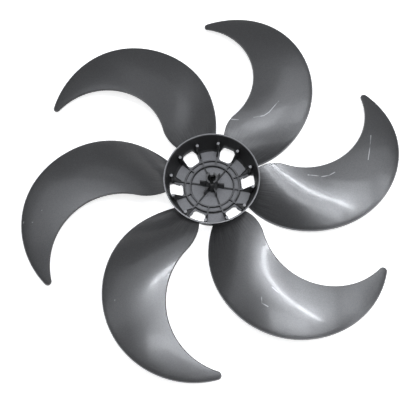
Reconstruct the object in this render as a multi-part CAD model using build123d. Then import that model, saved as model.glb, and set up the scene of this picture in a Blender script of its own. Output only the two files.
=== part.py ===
from build123d import *

import os
from math import atan2, cos, degrees, radians, sin, sqrt

# Six-bladed fan blade for a pedestal or wall fan, one injection moulding of grey plastic.
# Millimetres. Z is the shaft axis and points to the rear, where the motor is.
# The front face of the hub lies in z = 0 and the open rim of the hub cup looks up.

# Overall
FAN_RADIUS = 198.0
BLADE_COUNT = 6
FIRST_BLADE_ANGLE = 20.5

# Hub cup, with a shallow recess in its front
HUB_DEPTH = 31.0
RIM_RADIUS = 48.0
RIM_WALL = 1.5
FRONT_RADIUS = 41.0
FRONT_CHAMFER = 6.0
FRONT_RECESS = 3.0
RECESS_EDGE = 1.5
FOOT_CHAMFER = 1.5
FLOOR_THICKNESS = 2.5
WALL_THICKNESS = 1.5

# Shaft boss, with a slot across its mouth for the drive pin of the shaft
BORE_RADIUS = 4.0
BORE_CHAMFER = 0.6
BOSS_RADIUS = 5.9
PIN_SLOT_WIDTH = 3.4
PIN_SLOT_DEPTH = 7.0
PIN_SLOT_ANGLE = 90.0

# Ring ribs on the floor of the cup
INNER_RING_RADIUS = 22.6
OUTER_RING_RADIUS = 27.8
RING_THICKNESS = 1.2
RING_HEIGHT = 3.5

# Radial ribs, from the rings up the wall of the cup to just below the rim
RIB_COUNT = 12
FIRST_RIB_ANGLE = 21.0
RIB_THICKNESS = 1.3
RIB_RIM_DROP = 2.5
PAD_INSET = 6.5
PAD_HEIGHT = 22.0
PAD_RADIUS = 1.5
RIB_FOOT_REACH = 4.0

# Spokes from the inner ring to the boss, on every second rib, with a tall fin at the boss
SPOKE_EVERY = 2
SPOKE_HEIGHT = 2.2
FIN_REACH = 12.5
FIN_HEIGHT = 12.0

# Windows through the floor, in every second bay between the ribs
WINDOW_EVERY = 2
WINDOW_RING_CLEARANCE = 2.4
WINDOW_RIM_CLEARANCE = 4.8
WINDOW_SIDE_CLEARANCE = 1.5
WINDOW_CORNER_SHARE = 0.3

# Blade outline, seen along the shaft: a convex trailing arc that touches the fan's outer circle,
# a concave leading arc, a small round tip and a bump where the leading edge comes to the hub.
# The large arcs are shares of the fan's radius.
TRAILING_RADIUS = 0.448 * FAN_RADIUS
LEADING_RADIUS = 0.343 * FAN_RADIUS
LEADING_CENTRE_RADIUS = 0.6192 * FAN_RADIUS
LEADING_CENTRE_ANGLE = 20.8
TIP_RADIUS = 4.0
BUMP_RADIUS = 0.192 * FAN_RADIUS
BUMP_START_ANGLE = -125.9

# Blade sheet: one smooth curved sheet over a turned rectangle that is larger than the blade, with
# three rows of control heights from the hub outwards. Its place and size are shares of the fan's radius.
ROOT_THICKNESS = 2.8
TIP_THICKNESS = 2.0
SHEET_TURN = 50.0
SHEET_START = -0.116 * FAN_RADIUS
SHEET_LENGTH = 0.929 * FAN_RADIUS
SHEET_SIDE = -0.894 * FAN_RADIUS
SHEET_WIDTH = 0.7525 * FAN_RADIUS
SHEET_HEIGHTS = ((8.0, 22.0, -15.0), (28.0, 17.0, 87.0), (11.0, -2.0, 16.0))
EDGE_CHAMFER = 0.8


def polar(radius, angle):
    """A point at a radius and an angle in degrees around the shaft axis."""
    return Vector(radius * cos(radians(angle)), radius * sin(radians(angle)))


def direction(start, end):
    """Angle in degrees of the line from one plan point to another."""
    return degrees(atan2(end.Y - start.Y, end.X - start.X))


def circles_meet(centre_a, radius_a, centre_b, radius_b, side):
    """The meeting point of two circles on the left (1) or right (-1) of the line between centres."""
    line = centre_b - centre_a
    along = (radius_a**2 - radius_b**2 + line.length**2) / (2 * line.length)
    across = sqrt(radius_a**2 - along**2)
    unit = line.normalized()
    return centre_a + unit * along + Vector(-unit.Y, unit.X) * across * side


def arc_between(centre, radius, start, end, turn):
    """An arc round a centre between the directions of two points, turning left (1) or right (-1)."""
    first = direction(centre, start)
    sweep = (direction(centre, end) - first) * turn % 360
    return CenterArc(centre, radius, first, sweep * turn)


# Hub cup
wall_rise = HUB_DEPTH / (RIM_RADIUS - FRONT_RADIUS)
floor_top = FRONT_RECESS + FLOOR_THICKNESS
inner_floor_radius = FRONT_RADIUS + floor_top / wall_rise - WALL_THICKNESS
inner_rim_radius = RIM_RADIUS - RIM_WALL


def cup_section(radius_floor, height_floor, radius_rim):
    """Half section of a solid cup, from the axis to a tapered wall."""
    outline = Polyline(
        (0, height_floor),
        (radius_floor, height_floor),
        (radius_rim, HUB_DEPTH),
        (0, HUB_DEPTH),
        close=True,
    )
    return Plane.XZ * make_face(outline)


def foot_corner(section):
    """The corner of a cup section where the floor meets the wall."""
    return section.vertices().group_by(Axis.Z)[0].sort_by(Axis.X)[-1]


outer_section = cup_section(FRONT_RADIUS, 0, RIM_RADIUS)
inner_section = cup_section(inner_floor_radius, floor_top, inner_rim_radius)
hub_envelope = revolve(chamfer(foot_corner(outer_section), FRONT_CHAMFER), Axis.Z)
hub_cavity = revolve(chamfer(foot_corner(inner_section), FOOT_CHAMFER), Axis.Z)
recess_radius = FRONT_RADIUS - FRONT_CHAMFER - RECESS_EDGE
front_recess = Pos(0, 0, FRONT_RECESS / 2) * Cylinder(recess_radius, FRONT_RECESS)
cup = hub_envelope - hub_cavity - front_recess


# Ribs and rings on the floor of the cup
rib_foot = floor_top - FLOOR_THICKNESS / 2
ring_top = floor_top + RING_HEIGHT
pad_place = RIM_RADIUS - PAD_INSET


def ring_rib(radius):
    """A low ring wall on the floor of the cup."""
    outer = Cylinder(radius + RING_THICKNESS / 2, ring_top - rib_foot)
    inner = Cylinder(radius - RING_THICKNESS / 2, ring_top - rib_foot)
    return Pos(0, 0, (ring_top + rib_foot) / 2) * (outer - inner)


def upright_plate(points, thickness):
    """A plate of even thickness that stands on the X axis, from its side outline."""
    return extrude(Plane.XZ * make_face(Polyline(*points, close=True)), thickness / 2, both=True)


rib_plate = upright_plate(
    [
        (INNER_RING_RADIUS, rib_foot),
        (INNER_RING_RADIUS, ring_top),
        (OUTER_RING_RADIUS + RIB_FOOT_REACH, ring_top),
        (pad_place - PAD_RADIUS, PAD_HEIGHT),
        (pad_place + PAD_RADIUS, PAD_HEIGHT),
        (inner_rim_radius, HUB_DEPTH - RIB_RIM_DROP),
        (RIM_RADIUS, HUB_DEPTH - RIB_RIM_DROP),
        (RIM_RADIUS, rib_foot),
    ],
    RIB_THICKNESS,
)
pad = Pos(pad_place, 0, (PAD_HEIGHT + rib_foot) / 2) * Cylinder(PAD_RADIUS, PAD_HEIGHT - rib_foot)
radial_rib = (rib_plate + pad) & hub_envelope

spoke_top = floor_top + SPOKE_HEIGHT
fin_top = floor_top + FIN_HEIGHT
boss_core = (BORE_RADIUS + BOSS_RADIUS) / 2
spoke = upright_plate(
    [
        (boss_core, rib_foot),
        (INNER_RING_RADIUS, rib_foot),
        (INNER_RING_RADIUS, spoke_top),
        (FIN_REACH, spoke_top),
        (FIN_REACH, fin_top),
        (boss_core, fin_top),
    ],
    RIB_THICKNESS,
)

boss = Pos(0, 0, HUB_DEPTH / 2) * Cylinder(BOSS_RADIUS, HUB_DEPTH)

bay_angle = 360 / RIB_COUNT
inner_work = [boss, ring_rib(INNER_RING_RADIUS), ring_rib(OUTER_RING_RADIUS)]
for index in range(RIB_COUNT):
    rib_turn = Rot(0, 0, FIRST_RIB_ANGLE + index * bay_angle)
    inner_work.append(rib_turn * radial_rib)
    if index % SPOKE_EVERY:
        inner_work.append(rib_turn * spoke)
hub = cup + inner_work


# Windows through the floor
window_inner = OUTER_RING_RADIUS + WINDOW_RING_CLEARANCE
window_outer = RIM_RADIUS - WINDOW_RIM_CLEARANCE


def window_cutter():
    """A rounded sector of a bay between two ribs, centred on the X axis."""
    middle_radius = (window_inner + window_outer) / 2
    side_gap = RIB_THICKNESS / 2 + WINDOW_SIDE_CLEARANCE
    half_angle = bay_angle / 2 - degrees(side_gap / middle_radius)
    corners = [
        polar(window_inner, -half_angle),
        polar(window_outer, -half_angle),
        polar(window_outer, half_angle),
        polar(window_inner, half_angle),
    ]
    outline = Line(corners[0], corners[1]) + Line(corners[2], corners[3])
    outline += CenterArc((0, 0), window_outer, -half_angle, 2 * half_angle)
    outline += CenterArc((0, 0), window_inner, -half_angle, 2 * half_angle)
    face = make_face(outline)
    corner = WINDOW_CORNER_SHARE * (window_outer - window_inner)
    return extrude(fillet(face.vertices(), corner), HUB_DEPTH)


window = window_cutter()
windows = []
for index in range(0, RIB_COUNT, WINDOW_EVERY):
    windows.append(Rot(0, 0, FIRST_RIB_ANGLE + (index - 0.5) * bay_angle) * window)

# Bore through the boss and the slot for the drive pin
bore = Pos(0, 0, HUB_DEPTH / 2) * Cylinder(BORE_RADIUS, HUB_DEPTH)
chamfer_cone = Cone(BORE_RADIUS, BORE_RADIUS + BORE_CHAMFER, BORE_CHAMFER)
mouth = Pos(0, 0, HUB_DEPTH - BORE_CHAMFER / 2) * chamfer_cone
front_mouth = Pos(0, 0, BORE_CHAMFER / 2) * Rot(180, 0, 0) * chamfer_cone
pin_slot = Rot(0, 0, PIN_SLOT_ANGLE) * Pos(0, 0, HUB_DEPTH - PIN_SLOT_DEPTH / 2) * Box(
    2 * BOSS_RADIUS, PIN_SLOT_WIDTH, PIN_SLOT_DEPTH
)
hub_cuts = windows + [bore, mouth, front_mouth, pin_slot]


# Blade, built with the centre of its trailing arc on the X axis
trailing_centre = Vector(FAN_RADIUS - TRAILING_RADIUS, 0)
leading_centre = polar(LEADING_CENTRE_RADIUS, LEADING_CENTRE_ANGLE)
bump_centre = leading_centre + polar(LEADING_RADIUS + BUMP_RADIUS, BUMP_START_ANGLE)
root_radius = FRONT_RADIUS - FRONT_CHAMFER


def blade_outline():
    """Plan of one blade: trailing arc, tip, leading arc and bump, closed inside the hub."""
    tip_centre = circles_meet(
        trailing_centre, TRAILING_RADIUS - TIP_RADIUS, leading_centre, LEADING_RADIUS + TIP_RADIUS, -1
    )
    axis = Vector(0, 0)
    root_trailing = circles_meet(axis, root_radius, trailing_centre, TRAILING_RADIUS, -1)
    root_leading = circles_meet(axis, root_radius, bump_centre, BUMP_RADIUS, 1)
    tip_on_trailing = tip_centre + (tip_centre - trailing_centre).normalized() * TIP_RADIUS
    tip_on_leading = tip_centre + (leading_centre - tip_centre).normalized() * TIP_RADIUS
    bump_start = leading_centre + polar(LEADING_RADIUS, BUMP_START_ANGLE)
    outline = arc_between(trailing_centre, TRAILING_RADIUS, root_trailing, tip_on_trailing, 1)
    outline += arc_between(tip_centre, TIP_RADIUS, tip_on_trailing, tip_on_leading, 1)
    outline += arc_between(leading_centre, LEADING_RADIUS, tip_on_leading, bump_start, -1)
    outline += arc_between(bump_centre, BUMP_RADIUS, bump_start, root_leading, 1)
    outline += Line(root_leading, root_trailing)
    return outline


def sheet_point(row, column, depth):
    """A control point of the blade sheet, on the rear face (depth 0) or the front face (depth 1)."""
    along = row / (len(SHEET_HEIGHTS) - 1)
    across = column / (len(SHEET_HEIGHTS[row]) - 1)
    to_tip = (along + 1 - across) / 2
    thickness = ROOT_THICKNESS + (TIP_THICKNESS - ROOT_THICKNESS) * to_tip
    height = SHEET_HEIGHTS[row][column] - depth * thickness
    point = Vector(SHEET_START + SHEET_LENGTH * along, SHEET_SIDE + SHEET_WIDTH * across, height)
    return point.rotate(Axis.Z, SHEET_TURN)


def blade_sheet(depth):
    """The rear (0) or front (1) face of the blade as one smooth sheet, larger than the outline."""
    net = []
    for row, heights in enumerate(SHEET_HEIGHTS):
        net.append([sheet_point(row, column, depth) for column in range(len(heights))])
    return Face.make_bezier_surface(net)


below_rear = extrude(blade_sheet(0), 2 * HUB_DEPTH, dir=(0, 0, -1))
above_front = extrude(blade_sheet(1), 2 * HUB_DEPTH, dir=(0, 0, 1))
blade = extrude(make_face(blade_outline()), 2 * HUB_DEPTH, both=True) & below_rear & above_front

rear_face = blade.faces().sort_by(SortBy.AREA)[-2:].sort_by(lambda face: face.center().Z)[-1]
rear_edges = [edge for edge in rear_face.edges() if (edge @ 0.5).length > RIM_RADIUS]
blade = chamfer(rear_edges, EDGE_CHAMFER) - hub_cavity - front_recess
blade_turns = [FIRST_BLADE_ANGLE + index * 360 / BLADE_COUNT for index in range(BLADE_COUNT)]
fan_blade = hub + [Rot(0, 0, turn) * blade for turn in blade_turns] - hub_cuts

os.makedirs("parts", exist_ok=True)
export_step(fan_blade, "parts/fan_blade.step")
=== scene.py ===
"""Grey moulded fan blade lying on its front face on a white table, seen from the motor side."""

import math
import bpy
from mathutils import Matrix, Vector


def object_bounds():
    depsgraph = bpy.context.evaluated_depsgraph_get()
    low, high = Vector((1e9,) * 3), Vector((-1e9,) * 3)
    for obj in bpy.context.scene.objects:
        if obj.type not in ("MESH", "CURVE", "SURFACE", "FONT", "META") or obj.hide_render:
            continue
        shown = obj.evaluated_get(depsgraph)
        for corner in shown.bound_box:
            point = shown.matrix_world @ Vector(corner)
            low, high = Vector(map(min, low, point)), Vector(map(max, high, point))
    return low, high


bl_info = {
    "name": "Fan blade",
    "version": (1, 0, 0),
    "blender": (4, 5, 0),
    "location": "View3D > Sidebar > Fan blade",
    "description": "Finish and studio for the moulded fan blade",
    "category": "Object",
}

import bpy
from mathutils import Matrix, Vector

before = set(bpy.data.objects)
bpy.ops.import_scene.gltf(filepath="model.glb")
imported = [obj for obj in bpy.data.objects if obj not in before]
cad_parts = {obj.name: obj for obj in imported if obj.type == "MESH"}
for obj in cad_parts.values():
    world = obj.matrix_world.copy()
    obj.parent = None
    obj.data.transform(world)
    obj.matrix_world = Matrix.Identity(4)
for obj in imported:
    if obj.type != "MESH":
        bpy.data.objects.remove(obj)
CAD_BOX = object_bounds()

NODE = "fan_blade"
MM = 0.001

# Heights and radii of the hub. The cup's radius lies in the middle of its wall and grows with the height.
FLOOR_HEIGHT = 5.5 * MM
RING_HEIGHT = 9 * MM
PAD_HEIGHT = 22 * MM
RIM_HEIGHT = 31 * MM
RIM_RADIUS = 48 * MM
CUP_RADIUS = 40.3 * MM
CUP_SLOPE = 7 / 31
CUP_BOTTOM = FLOOR_HEIGHT - 0.1 * MM
CUP_TOP = RIM_HEIGHT - 0.8 * MM
CUP_FADE = 0.2 * MM
INNER_RING_RADIUS = 22 * MM
OUTER_RING_RADIUS = 28.4 * MM
# Widths of the painted shade on the floor just inside the inner ring and just outside the outer ring
INNER_SHADE_WIDTH = 0.63 * MM
OUTER_SHADE_WIDTH = 0.9 * MM
CORNER_SHADE_FADE = 0.4 * MM
LEVEL_REACH = 0.3 * MM
LEVEL_FADE = 0.2 * MM

# Plan of one blade, with centres given by their distance from the axis, and the sheet that it is cut from
BLADE_TURN = math.radians(20.5)
BLADE_STEP = math.radians(60)
TRAILING_CENTRE = 109.3 * MM
TRAILING_RADIUS = 88.7 * MM
TRAILING_ROLL_WIDTH = 5 * MM
LEADING_CENTRE = 122.6 * MM
LEADING_ANGLE = math.radians(20.8)
LEADING_RADIUS = 67.9 * MM
LEADING_ROLL_WIDTH = 40 * MM
SHEET_TURN = math.radians(50)
SHEET_START = -23 * MM
SHEET_LENGTH = 184 * MM
SHEET_SIDE = -177 * MM
SHEET_WIDTH = 149 * MM

# Fine light streaks painted on the blades, partly scratches and partly painted glints, each from one plan
# point to another in millimetres
STREAKS = (
    ((19.7, 65.6), (27.5, 66.1)),
    ((43.4, 70.3), (54.1, 73.1)),
    ((54.1, 73.1), (59.8, 77.4)),
    ((59.8, 77.4), (70.0, 90.1)),
    ((96.4, 5.1), (107.2, 4.2)),
    ((109.8, 3.4), (117.6, 5.0)),
    ((117.6, 5.0), (123.7, 8.5)),
    # These three lines are painted glints.
    ((47.0, -117.7), (47.3, -123.4)),
    ((47.3, -123.4), (52.9, -126.8)),
    ((57.2, -108.3), (63.6, -114.2)),
    ((163.7, 50.6), (161.7, 38.0)),
    ((161.7, 38.0), (158.5, 22.8)),
    ((-188.5, -41.3), (-188.2, -40.0)),
    ((-179.6, -40.6), (-179.2, -40.2)),
    ((-170.9, -28.4), (-170.6, -28.0)),
    ((-93.2, -120.1), (-93.0, -119.3)),
)
STREAK_WIDTH = 0.6 * MM

# Noise in the plastic: repeats per metre, and for the flow lines repeats per radian and per metre
NOISE_MIDDLE = 0.5
WAVE_SCALE = 26.0
BREAK_SCALE = 150.0
FLOW_AROUND = 55
FLOW_ALONG = 30
FLOW_START = 47.5 * MM
FLOW_END = 56 * MM
FLOW_FADE = 24 * MM

# Shares of the light colour that paints highlights on rim, pads and trailing edges and fills the streaks,
# the share of painted light on the ring tops, and how far the plastic's tone, roughness, metal and polish
# vary
RIM_HIGHLIGHT = 0.55
PAD_HIGHLIGHT = 0.55
EDGE_HIGHLIGHT = 0.4
STREAK_WEAR_AND_GLINT = 0.85
RING_TOP_LIGHT_SHARE = 0.45
FLAKE_CONTRAST = 0.2
FLOW_CONTRAST = 0.9
WAVE_ROUGHNESS = 0.08
CUP_ROUGHNESS = 0.16
CUP_METAL_LOSS = 0.7
HIGHLIGHT_AND_WEAR_METAL_LOSS = 0.8
LEAST_POLISH = 0.4
POLISH_SPREAD = 1.2

# First and last value of the smooth steps that masks are made of
LEVEL_FACING = (0.9, 0.98)
UPWARD_FACING = (0.0, 0.2)
HUB_EDGE = (RIM_RADIUS, RIM_RADIUS + 0.4 * MM)
CUP_EDGE = (CUP_RADIUS - 0.2 * MM, CUP_RADIUS)
RIM_RISE = (RIM_HEIGHT - 0.4 * MM, RIM_HEIGHT - 0.2 * MM)
RIM_INSIDE = (RIM_RADIUS - 1.2 * MM, RIM_RADIUS - 0.6 * MM)
BLADE_START = (RIM_RADIUS, 60 * MM)
HIGHLIGHT_EDGE_REACH = (0.4 * MM, 1.4 * MM)
STREAK_SIDE = (0.35 * STREAK_WIDTH, STREAK_WIDTH)
STREAK_BREAKS = (0.2, 0.65)
TABLE_MIRRORED = (0.06, 0.25)
TABLE_FAR = (0.5, 3.0)
ABOVE_HORIZON = (0.05, 0.45)

# The table, in metres, and the share of its colour that it glows with near the part
TABLE_HALF = 4.0
TABLE_GAP = 0.2 * MM
TABLE_GLOW = 0.85
WHITE = (1, 1, 1, 1)

# Lights that hang level over the table: name, place, width and length in metres,
# turn in degrees and power in watts
LIGHTS = (
    ("tube", (0.1, -0.01, 1.2), (0.9, 0.04), -22, 6.4),
    ("front", (0.1, -0.32, 1.2), (0.5, 0.14), 0, 1.8),
    ("right", (0.53, 0.1, 1.2), (0.35, 0.5), 0, 2.1),
    ("right_end", (0.9, 0.2, 1.2), (0.2, 0.5), 0, 1.2),
    ("far_right", (1.15, -0.3, 1.2), (0.4, 0.6), 0, 1.9),
    ("back_right", (0.7, 0.75, 1.2), (0.6, 0.6), 0, 1.6),
    ("left", (-0.6, 0.3, 1.2), (0.7, 0.9), 0, 1.9),
    ("back", (0.1, 1.05, 1.2), (1.4, 0.4), 0, 0.9),
)
LIGHT_COLOUR = (0.93, 0.96, 1.0)

# The photograph's width in pixels, the way that is up in it, and the nearest that the camera sees in metres
IMAGE_WIDTH = 420
PICTURE_UP = Vector((0, 1, 0))
CLIP_START = 0.01

# A Mix node has sockets for each kind of data. These are the ones for colours.
MIX_SHARE = 0
MIX_FIRST = 6
MIX_SECOND = 7
MIX_RESULT = 2


class Sock:
    """A value on its way through the shader: Python operators on numbers add Math nodes."""

    def __init__(self, tree, socket):
        self.tree = tree
        self.socket = socket

    def math(self, operation, *others):
        """The result of a Math node that takes this number first."""
        values = dict(enumerate((self, *others)))
        return self.tree.add("ShaderNodeMath", {"operation": operation}, values).out()

    def reverse(self, operation, first):
        """The result of a Math node that takes this number second."""
        return self.tree.add("ShaderNodeMath", {"operation": operation}, {0: first, 1: self}).out()

    def __add__(self, other):
        return self.math("ADD", other)

    def __radd__(self, other):
        return self.reverse("ADD", other)

    def __sub__(self, other):
        return self.math("SUBTRACT", other)

    def __rsub__(self, other):
        return self.reverse("SUBTRACT", other)

    def __mul__(self, other):
        return self.math("MULTIPLY", other)

    def __rmul__(self, other):
        return self.reverse("MULTIPLY", other)

    def __truediv__(self, other):
        return self.math("DIVIDE", other)

    def __rtruediv__(self, other):
        return self.reverse("DIVIDE", other)

    def __pow__(self, other):
        return self.math("POWER", other)

    def __rpow__(self, other):
        return self.reverse("POWER", other)

    def limit(self):
        """The number kept between 0 and 1."""
        return self.tree.add("ShaderNodeClamp", None, {"Value": self}).out()

    def step(self, low, high):
        """0 below low, 1 above high and smooth between."""
        settings = {"interpolation_type": "SMOOTHSTEP"}
        values = {"Value": self, "From Min": low, "From Max": high}
        return self.tree.add("ShaderNodeMapRange", settings, values).out()


class Made:
    """A node that was added to a tree."""

    def __init__(self, tree, node):
        self.tree = tree
        self.node = node

    def out(self, name=0):
        return Sock(self.tree, self.node.outputs[name])


class Tree:
    """The node tree of a material or a world, with one method that adds any node."""

    def __init__(self, owner):
        owner.use_nodes = True
        self.nodes = owner.node_tree.nodes
        self.links = owner.node_tree.links
        self.nodes.clear()

    def add(self, kind, settings=None, values=None):
        """A new node with its settings, and values or links for its inputs."""
        node = self.nodes.new(kind)
        for name, value in (settings or {}).items():
            setattr(node, name, value)
        for name, value in (values or {}).items():
            self.put(node.inputs[name], value)
        return Made(self, node)

    def put(self, socket, value):
        if isinstance(value, Sock):
            self.links.new(value.socket, socket)
        else:
            socket.default_value = value

    def vector(self, operation, first, second, name="Vector"):
        """A vector, or the number called Value, from two vectors."""
        settings = {"operation": operation}
        return self.add("ShaderNodeVectorMath", settings, {0: first, 1: second}).out(name)

    def scale(self, vector, share):
        """A vector made longer or shorter."""
        settings = {"operation": "SCALE"}
        return self.add("ShaderNodeVectorMath", settings, {0: vector, "Scale": share}).out()

    def split(self, vector):
        """The three numbers of a vector."""
        made = self.add("ShaderNodeSeparateXYZ", None, {0: vector})
        return made.out("X"), made.out("Y"), made.out("Z")

    def noise(self, place, scale, detail):
        """Smooth noise from 0 to 1."""
        values = {"Vector": place, "Scale": scale, "Detail": detail}
        return self.add("ShaderNodeTexNoise", None, values).out("Fac")

    def grey(self, tone):
        """A grey from its brightness."""
        return self.add("ShaderNodeCombineColor", None, {0: tone, 1: tone, 2: tone}).out()

    def mix(self, share, first, second, blend="MIX"):
        """A colour between two, by a share from 0 to 1."""
        settings = {"data_type": "RGBA", "blend_type": blend}
        values = {MIX_SHARE: share, MIX_FIRST: first, MIX_SECOND: second}
        return self.add("ShaderNodeMix", settings, values).out(MIX_RESULT)


def colour(value):
    """A colour property as four numbers."""
    return (value[0], value[1], value[2], 1.0)


def largest(first, *others):
    """The greatest of several numbers."""
    result = first
    for other in others:
        result = result.math("MAXIMUM", other)
    return result


def band(value, low, high, fade):
    """1 between two values and 0 outside them, with soft ends."""
    return value.step(low - fade, low) * (1 - value.step(high, high + fade))


def near(height, place):
    """1 at a height on the part and 0 a little above and below it."""
    return band(height, place - LEVEL_REACH, place + LEVEL_REACH, LEVEL_FADE)


def distance(radius, angle, centre):
    """How far a point at a radius and an angle lies from a centre at no angle."""
    return (radius * radius + centre**2 - 2 * centre * radius * angle.math("COSINE")) ** 0.5


def roll(away, width):
    """1 at an edge of a blade, falling to 0 at a width from it."""
    return (1 - away / width).limit() ** 2


class FanBladeFinish(bpy.types.PropertyGroup):
    base_color: bpy.props.FloatVectorProperty(
        name="Plastic",
        description="Colour of the moulded plastic",
        subtype="COLOR",
        default=(0.136, 0.136, 0.139),
        min=0,
        max=1,
    )
    # Painted shade: the walls, ribs and boss inside the hub cup are painted near black where shade falls in
    # the hollow.
    shaded_wall_color: bpy.props.FloatVectorProperty(
        name="Hub walls",
        description="Colour of the hub's wall and ribs",
        subtype="COLOR",
        default=(0.036, 0.036, 0.037),
        min=0,
        max=1,
    )
    # Painted light: the level floor inside the hub cup is painted lighter than the plastic, as light falls
    # on it.
    floor_color: bpy.props.FloatVectorProperty(
        name="Hub floor",
        description="Colour of the hub's matte floor",
        subtype="COLOR",
        default=(0.2, 0.2, 0.21),
        min=0,
        max=1,
    )
    # Painted highlights: light colour for the rim, pads and trailing edges, and for the streaks, which are
    # partly scratches and partly painted glints.
    highlight_and_wear_color: bpy.props.FloatVectorProperty(
        name="Highlights and wear",
        description="Colour of the rim, pads and streaks",
        subtype="COLOR",
        default=(0.55, 0.55, 0.57),
        min=0,
        max=1,
    )
    metallic: bpy.props.FloatProperty(
        name="Metallic",
        description="Share of metal flake in the plastic",
        subtype="FACTOR",
        default=0.6,
        min=0,
        max=1,
    )
    roughness: bpy.props.FloatProperty(
        name="Roughness",
        description="Roughness of the blades",
        subtype="FACTOR",
        default=0.3,
        min=0,
        max=1,
    )
    polish: bpy.props.FloatProperty(
        name="Polish",
        description="Share of light that the skin of the blades mirrors",
        subtype="FACTOR",
        default=0.012,
        min=0,
        max=1,
    )
    polish_roughness: bpy.props.FloatProperty(
        name="Polish roughness",
        description="Roughness of that skin",
        subtype="FACTOR",
        default=0.1,
        min=0,
        max=1,
    )
    flake_size: bpy.props.FloatProperty(
        name="Flake size",
        description="Size of the metal flakes",
        unit="LENGTH",
        default=0.0006,
        min=0.0001,
        max=0.01,
    )
    trailing_roll: bpy.props.FloatProperty(
        name="Trailing roll",
        description="Fall of the surface at the trailing edge",
        unit="LENGTH",
        default=0.0002,
        min=0,
        max=0.01,
    )
    leading_roll: bpy.props.FloatProperty(
        name="Leading roll",
        description="Fall of the surface at the leading edge",
        unit="LENGTH",
        default=0.0035,
        min=0,
        max=0.01,
    )
    wave_height: bpy.props.FloatProperty(
        name="Waves",
        description="Height of the slow waves in the blades",
        unit="LENGTH",
        default=0.00025,
        min=0,
        max=0.01,
    )
    bow_along: bpy.props.FloatProperty(
        name="Bow along",
        description="Rise of the surface towards both ends of a blade",
        unit="LENGTH",
        default=-0.0055,
    )
    bow_across: bpy.props.FloatProperty(
        name="Bow across",
        description="Rise of the surface towards both edges of a blade",
        unit="LENGTH",
        default=-0.004,
    )
    turn_along: bpy.props.FloatProperty(
        name="Turn along",
        description="Rise at the tip and fall at the root",
        unit="LENGTH",
        default=0.0035,
    )
    turn_across: bpy.props.FloatProperty(
        name="Turn across",
        description="Rise at one edge and fall at the other",
        unit="LENGTH",
        default=0.0035,
    )
    twist: bpy.props.FloatProperty(
        name="Twist",
        description="Even twist of the surface",
        unit="LENGTH",
        default=0.002,
    )
    twist_along: bpy.props.FloatProperty(
        name="Twist along",
        description="Twist that grows from the root to the tip",
        unit="LENGTH",
        default=0.006,
    )
    twist_across: bpy.props.FloatProperty(
        name="Twist across",
        description="Twist that grows from one edge to the other",
        unit="LENGTH",
        default=-0.003,
    )


class FanBladeStage(bpy.types.PropertyGroup):
    camera_place: bpy.props.FloatVectorProperty(
        name="Camera",
        description="Place of the camera",
        subtype="TRANSLATION",
        unit="LENGTH",
        default=(0.0166, -0.2570, 0.6777),
    )
    camera_target: bpy.props.FloatVectorProperty(
        name="Target",
        description="Point in the middle of the picture",
        subtype="TRANSLATION",
        unit="LENGTH",
        default=(-0.00165, -0.02527, 0.031),
    )
    focal_pixels: bpy.props.FloatProperty(
        name="Focal length",
        description="Focal length in pixels of the photograph",
        default=701.2,
        min=100,
    )
    light_level: bpy.props.FloatProperty(
        name="Lights",
        description="Level of all the soft lights",
        subtype="FACTOR",
        default=1.0,
        min=0,
        max=4,
    )
    world_level: bpy.props.FloatProperty(
        name="Surround",
        description="Brightness of the room overhead",
        default=0.05,
        min=0,
        max=2,
    )
    horizon_level: bpy.props.FloatProperty(
        name="Horizon",
        description="Brightness of the room near the horizon",
        default=0.3,
        min=0,
        max=2,
    )
    floor_color: bpy.props.FloatVectorProperty(
        name="Floor",
        description="Colour of the table",
        subtype="COLOR",
        default=(0.92, 0.92, 0.92),
        min=0,
        max=1,
    )


class Spot:
    """The point that is shaded: its place on the part and the way that its surface faces."""

    def __init__(self, tree):
        coordinates = tree.add("ShaderNodeTexCoord")
        self.place = coordinates.out("Object")
        x, y, self.height = tree.split(self.place)
        self.plan = tree.add("ShaderNodeCombineXYZ", None, {0: x, 1: y}).out()
        self.radius = (x * x + y * y) ** 0.5
        self.around = y.math("ARCTAN2", x)
        self.facing = tree.split(coordinates.out("Normal"))[2]


class Hub:
    """Masks that are 1 in one region of the hub and 0 elsewhere."""

    def __init__(self, spot):
        height, radius = spot.height, spot.radius
        level = spot.facing.step(*LEVEL_FACING)
        self.whole = 1 - radius.step(*HUB_EDGE)

        past_wall = radius - CUP_SLOPE * height
        inside = 1 - past_wall.step(*CUP_EDGE)
        self.cup = inside * band(height, CUP_BOTTOM, CUP_TOP, CUP_FADE)

        # Painted shade: narrow bands of floor beside the rings keep the near-black wall colour, as contact
        # shade.
        outer_end = OUTER_RING_RADIUS + OUTER_SHADE_WIDTH
        outer_shade = band(radius, OUTER_RING_RADIUS, outer_end, CORNER_SHADE_FADE)
        inner_start = INNER_RING_RADIUS - INNER_SHADE_WIDTH
        inner_shade = band(radius, inner_start, INNER_RING_RADIUS, CORNER_SHADE_FADE)
        corners = largest(outer_shade, inner_shade)
        # Painted light: the level floor of the cup takes the lighter floor colour.
        self.floor = self.cup * level * near(height, FLOOR_HEIGHT) * (1 - corners)

        # Painted light: the level tops of the rings take part of the lighter floor colour.
        self.ring_tops = self.cup * level * near(height, RING_HEIGHT)
        # Painted highlights: the level pads and the rim's top take the light colour.
        self.pads = self.cup * level * near(height, PAD_HEIGHT)
        self.rim = level * height.step(*RIM_RISE) * radius.step(*RIM_INSIDE)


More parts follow.
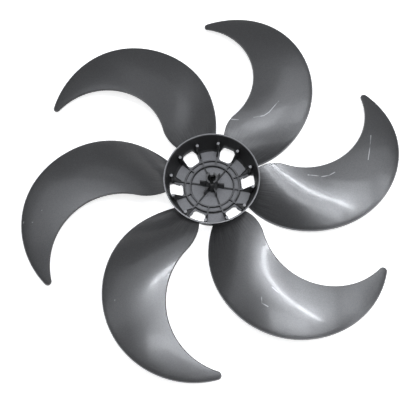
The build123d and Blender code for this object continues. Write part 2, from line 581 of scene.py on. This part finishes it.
class Blade:
    """Where a point lies on its blade: distances from the two edges in metres, and places
    along and across the sheet that run from -1 to 1."""

    def __init__(self, spot):
        radius = spot.radius
        arc = radius * radius + (TRAILING_CENTRE**2 - TRAILING_RADIUS**2)
        arc = arc / (2 * TRAILING_CENTRE * radius)
        start = arc.math("MINIMUM", 1.0).math("MAXIMUM", -1.0).math("ARCCOSINE")
        turned = (spot.around - BLADE_TURN + start).math("FLOORED_MODULO", BLADE_STEP) - start
        self.from_trailing = TRAILING_RADIUS - distance(radius, turned, TRAILING_CENTRE)
        self.from_leading = distance(radius, turned - LEADING_ANGLE, LEADING_CENTRE) - LEADING_RADIUS

        sheet_angle = turned - SHEET_TURN
        along = radius * sheet_angle.math("COSINE") - SHEET_START
        across = radius * sheet_angle.math("SINE") - SHEET_SIDE
        self.along = along * (2 / SHEET_LENGTH) - 1
        self.across = across * (2 / SHEET_WIDTH) - 1


def bow(finish, along, across):
    """Slow rise and fall of a blade's surface, in metres."""
    rise_along = (finish.bow_along + finish.turn_along * along) * along * along
    rise_across = (finish.bow_across + finish.turn_across * across) * across * across
    twist = finish.twist + finish.twist_along * along + finish.twist_across * across
    return rise_along + rise_across + twist * along * across


def streak(tree, plan, start, end):
    """1 on a thin line between two plan points and 0 away from it."""
    first = Vector((*start, 0)) * MM
    line = Vector((*end, 0)) * MM - first
    offset = tree.vector("SUBTRACT", plan, first)
    share = tree.vector("DOT_PRODUCT", offset, line, "Value") / line.length_squared
    nearest = tree.scale(line, share.limit())
    away = tree.vector("DISTANCE", offset, nearest, "Value")
    return 1 - away.step(*STREAK_SIDE)


def painted_highlights_and_wear(tree, spot, hub, blade, wave, breaks):
    """Share of the light colour: painted highlights on rim, pads and trailing edges, and broken streaks
    that are partly scratches and partly painted glints.
    """
    # Painted highlight along the trailing edges, broken by the waves.
    edge = (1 - blade.from_trailing.step(*HIGHLIGHT_EDGE_REACH)) * spot.radius.step(*BLADE_START) * wave
    # Streaks: partly scratches and partly painted glints.
    lines = largest(*(streak(tree, spot.plan, start, end) for start, end in STREAKS))
    lines = lines * (1 - hub.whole) * spot.facing.step(*UPWARD_FACING) * breaks.step(*STREAK_BREAKS)
    return largest(RIM_HIGHLIGHT * hub.rim, PAD_HIGHLIGHT * hub.pads, EDGE_HIGHLIGHT * edge, STREAK_WEAR_AND_GLINT * lines)


def plastic_tone(tree, finish, spot, hub):
    """Brightness that varies by the flakes and by faint flow lines where the blades leave the hub."""
    values = {"Vector": spot.place, "Scale": 1 / finish.flake_size}
    flake = tree.add("ShaderNodeTexVoronoi", {"feature": "F1"}, values).out("Color")
    flake = tree.add("ShaderNodeSeparateColor", None, {0: flake}).out()
    values = {0: spot.around * FLOW_AROUND, 1: spot.radius * FLOW_ALONG}
    flow_place = tree.add("ShaderNodeCombineXYZ", None, values).out()
    root = band(spot.radius, FLOW_START, FLOW_END, FLOW_FADE) * (1 - hub.whole)
    flow = (tree.noise(flow_place, scale=1.0, detail=2.0) - NOISE_MIDDLE) * root
    return (1 - FLAKE_CONTRAST / 2) + FLAKE_CONTRAST * flake + FLOW_CONTRAST * flow


def surface_normal(tree, finish, spot, hub, blade, wave):
    """Normals with bow, edge rolls and waves on the blades, and the plain ones on the hub."""
    trailing = finish.trailing_roll * roll(blade.from_trailing, TRAILING_ROLL_WIDTH)
    leading = finish.leading_roll * roll(blade.from_leading, LEADING_ROLL_WIDTH)
    side = spot.facing.math("SIGN")
    height = finish.wave_height * wave - trailing
    height = height + side * (bow(finish, blade.along, blade.across) - leading)
    values = {"Strength": 1.0, "Distance": 1.0, "Height": height}
    bump = tree.add("ShaderNodeBump", None, values).out()
    plain = tree.add("ShaderNodeNewGeometry").out("Normal")
    return tree.vector("ADD", tree.scale(bump, 1 - hub.whole), tree.scale(plain, hub.whole))


def plastic(finish):
    """Satin grey plastic with metal flake: painted shade on the hub's walls and painted light on its matte
    floor, painted highlights on rim, pads and trailing edges, and streaks that are partly scratches and
    partly painted glints.
    """
    material = bpy.data.materials.new("grey_plastic_finish")
    tree = Tree(material)
    spot = Spot(tree)
    hub = Hub(spot)
    blade = Blade(spot)
    wave = tree.noise(spot.place, WAVE_SCALE, detail=1.0)
    breaks = tree.noise(spot.place, BREAK_SCALE, detail=1.0)
    highlights_and_wear = painted_highlights_and_wear(tree, spot, hub, blade, wave, breaks)
    normal = surface_normal(tree, finish, spot, hub, blade, wave)

    # Painted shade: everything inside the hub cup first takes the near-black wall colour.
    base = tree.mix(hub.cup, colour(finish.base_color), colour(finish.shaded_wall_color))
    # Painted light on the level floor and the ring tops inside the cup.
    base = tree.mix(largest(hub.floor, RING_TOP_LIGHT_SHARE * hub.ring_tops), base, colour(finish.floor_color))
    base = tree.mix(1.0, base, tree.grey(plastic_tone(tree, finish, spot, hub)), "MULTIPLY")
    # Painted highlights on rim, pads and edges, and the streaks, take the light colour.
    base = tree.mix(highlights_and_wear, base, colour(finish.highlight_and_wear_color))
    satin = {
        "Base Color": base,
        "Metallic": finish.metallic * (1 - CUP_METAL_LOSS * hub.cup) * (1 - HIGHLIGHT_AND_WEAR_METAL_LOSS * highlights_and_wear),
        "Roughness": finish.roughness + WAVE_ROUGHNESS * (wave - NOISE_MIDDLE) + CUP_ROUGHNESS * hub.cup,
        "Normal": normal,
    }
    skin = {
        "Base Color": WHITE,
        "Metallic": 1.0,
        "Roughness": finish.polish_roughness,
        "Normal": normal,
    }
    satin = tree.add("ShaderNodeBsdfPrincipled", None, satin).out()
    skin = tree.add("ShaderNodeBsdfPrincipled", None, skin).out()
    polish = finish.polish * (LEAST_POLISH + POLISH_SPREAD * breaks) * (1 - hub.whole)
    both = tree.add("ShaderNodeMixShader", None, {0: polish, 1: satin, 2: skin}).out()
    tree.add("ShaderNodeOutputMaterial", None, {0: both})
    return material


class FANBLADE_OT_finish(bpy.types.Operator):
    """Give the moulded blade its plastic and smooth its curved faces"""

    bl_idname = "fanblade.finish"
    bl_label = "Finish the fan blade"

    def execute(self, context):
        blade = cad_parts[NODE]
        blade.data.materials.clear()
        blade.data.materials.append(plastic(context.scene.fan_blade_finish))
        blade.data.shade_smooth()
        return {"FINISHED"}


def seen(tree, mirrored_share):
    """1 for what the camera sees, and a share for what it sees mirrored or through glass."""
    path = tree.add("ShaderNodeLightPath")
    mirrored = largest(path.out("Is Glossy Ray"), path.out("Is Transmission Ray"))
    return largest(path.out("Is Camera Ray"), mirrored * mirrored_share)


def table_material(tint):
    """White table that glows where it is seen, keeps the shadow and fades to white far away."""
    material = bpy.data.materials.new("white_table")
    tree = Tree(material)
    away = tree.vector("DISTANCE", tree.add("ShaderNodeTexCoord").out("Object"), (0, 0, 0), "Value")
    lit = tree.add("ShaderNodeBsdfDiffuse", None, {0: colour(tint)}).out()
    near_glow = colour([TABLE_GLOW * part for part in tint])
    glow = tree.mix(away.step(*TABLE_FAR), near_glow, WHITE)
    glow = tree.add("ShaderNodeEmission", None, {0: glow}).out()
    both = tree.add("ShaderNodeAddShader", None, {0: lit, 1: glow}).out()
    share = seen(tree, away.step(*TABLE_MIRRORED))
    shader = tree.add("ShaderNodeMixShader", None, {0: share, 1: lit, 2: both}).out()
    tree.add("ShaderNodeOutputMaterial", None, {0: shader})
    return material


def studio(level, horizon):
    """A dim room, lighter near the horizon, that the camera sees as white."""
    world = bpy.data.worlds.new("studio")
    tree = Tree(world)
    up = tree.split(tree.add("ShaderNodeTexCoord").out("Generated"))[2]
    low = 1 - up.step(*ABOVE_HORIZON)
    room = tree.grey(level + (horizon - level) * low)
    room = tree.mix(seen(tree, low), room, WHITE)
    shader = tree.add("ShaderNodeBackground", None, {0: room}).out()
    tree.add("ShaderNodeOutputWorld", None, {0: shader})
    return world


def add_table(scene, tint):
    """A wide square table just under the part."""
    height = CAD_BOX[0][2] - TABLE_GAP
    signs = ((-1, -1), (1, -1), (1, 1), (-1, 1))
    corners = [(x * TABLE_HALF, y * TABLE_HALF, height) for x, y in signs]
    mesh = bpy.data.meshes.new("table")
    mesh.from_pydata(corners, [], [(0, 1, 2, 3)])
    mesh.materials.append(table_material(tint))
    table = bpy.data.objects.new("table", mesh)
    scene.collection.objects.link(table)


def add_light(scene, name, place, size, turn, power):
    """A rectangular soft light that looks straight down."""
    data = bpy.data.lights.new(name, "AREA")
    data.shape = "RECTANGLE"
    data.size, data.size_y = size
    data.energy = power
    data.color = LIGHT_COLOUR
    light = bpy.data.objects.new(name, data)
    light.location = place
    light.rotation_euler.z = math.radians(turn)
    scene.collection.objects.link(light)


def add_camera(scene, stage):
    """The photograph's camera."""
    data = bpy.data.cameras.new("camera")
    data.sensor_fit = "HORIZONTAL"
    data.lens = stage.focal_pixels * data.sensor_width / IMAGE_WIDTH
    data.clip_start = CLIP_START
    place = Vector(stage.camera_place)
    back = (place - Vector(stage.camera_target)).normalized()
    right = PICTURE_UP.cross(back).normalized()
    turn = Matrix((right, back.cross(right), back)).transposed()
    camera = bpy.data.objects.new("camera", data)
    camera.matrix_world = Matrix.Translation(place) @ turn.to_4x4()
    scene.collection.objects.link(camera)
    scene.camera = camera


class FANBLADE_OT_stage(bpy.types.Operator):
    """Add the white table, the soft light and the camera"""

    bl_idname = "fanblade.stage"
    bl_label = "Set the stage"

    def execute(self, context):
        scene = context.scene
        stage = scene.fan_blade_stage
        add_table(scene, stage.floor_color)
        for name, place, size, turn, power in LIGHTS:
            add_light(scene, name, place, size, turn, power * stage.light_level)
        add_camera(scene, stage)
        scene.world = studio(stage.world_level, stage.horizon_level)
        scene.view_settings.view_transform = "Standard"
        return {"FINISHED"}


class FANBLADE_PT_panel(bpy.types.Panel):
    bl_idname = "FANBLADE_PT_panel"
    bl_label = "Fan blade"
    bl_space_type = "VIEW_3D"
    bl_region_type = "UI"
    bl_category = "Fan blade"

    def draw(self, context):
        for group in (context.scene.fan_blade_finish, context.scene.fan_blade_stage):
            for name in group.__annotations__:
                self.layout.prop(group, name)
        self.layout.operator(FANBLADE_OT_finish.bl_idname)
        self.layout.operator(FANBLADE_OT_stage.bl_idname)


CLASSES = (FanBladeFinish, FanBladeStage, FANBLADE_OT_finish, FANBLADE_OT_stage, FANBLADE_PT_panel)


def register():
    for cls in CLASSES:
        bpy.utils.register_class(cls)
    bpy.types.Scene.fan_blade_finish = bpy.props.PointerProperty(type=FanBladeFinish)
    bpy.types.Scene.fan_blade_stage = bpy.props.PointerProperty(type=FanBladeStage)


def unregister():
    del bpy.types.Scene.fan_blade_stage
    del bpy.types.Scene.fan_blade_finish
    for cls in reversed(CLASSES):
        bpy.utils.unregister_class(cls)


def main():
    register()
    bpy.ops.fanblade.finish()
    bpy.ops.fanblade.stage()


if __name__ == "__main__":
    main()
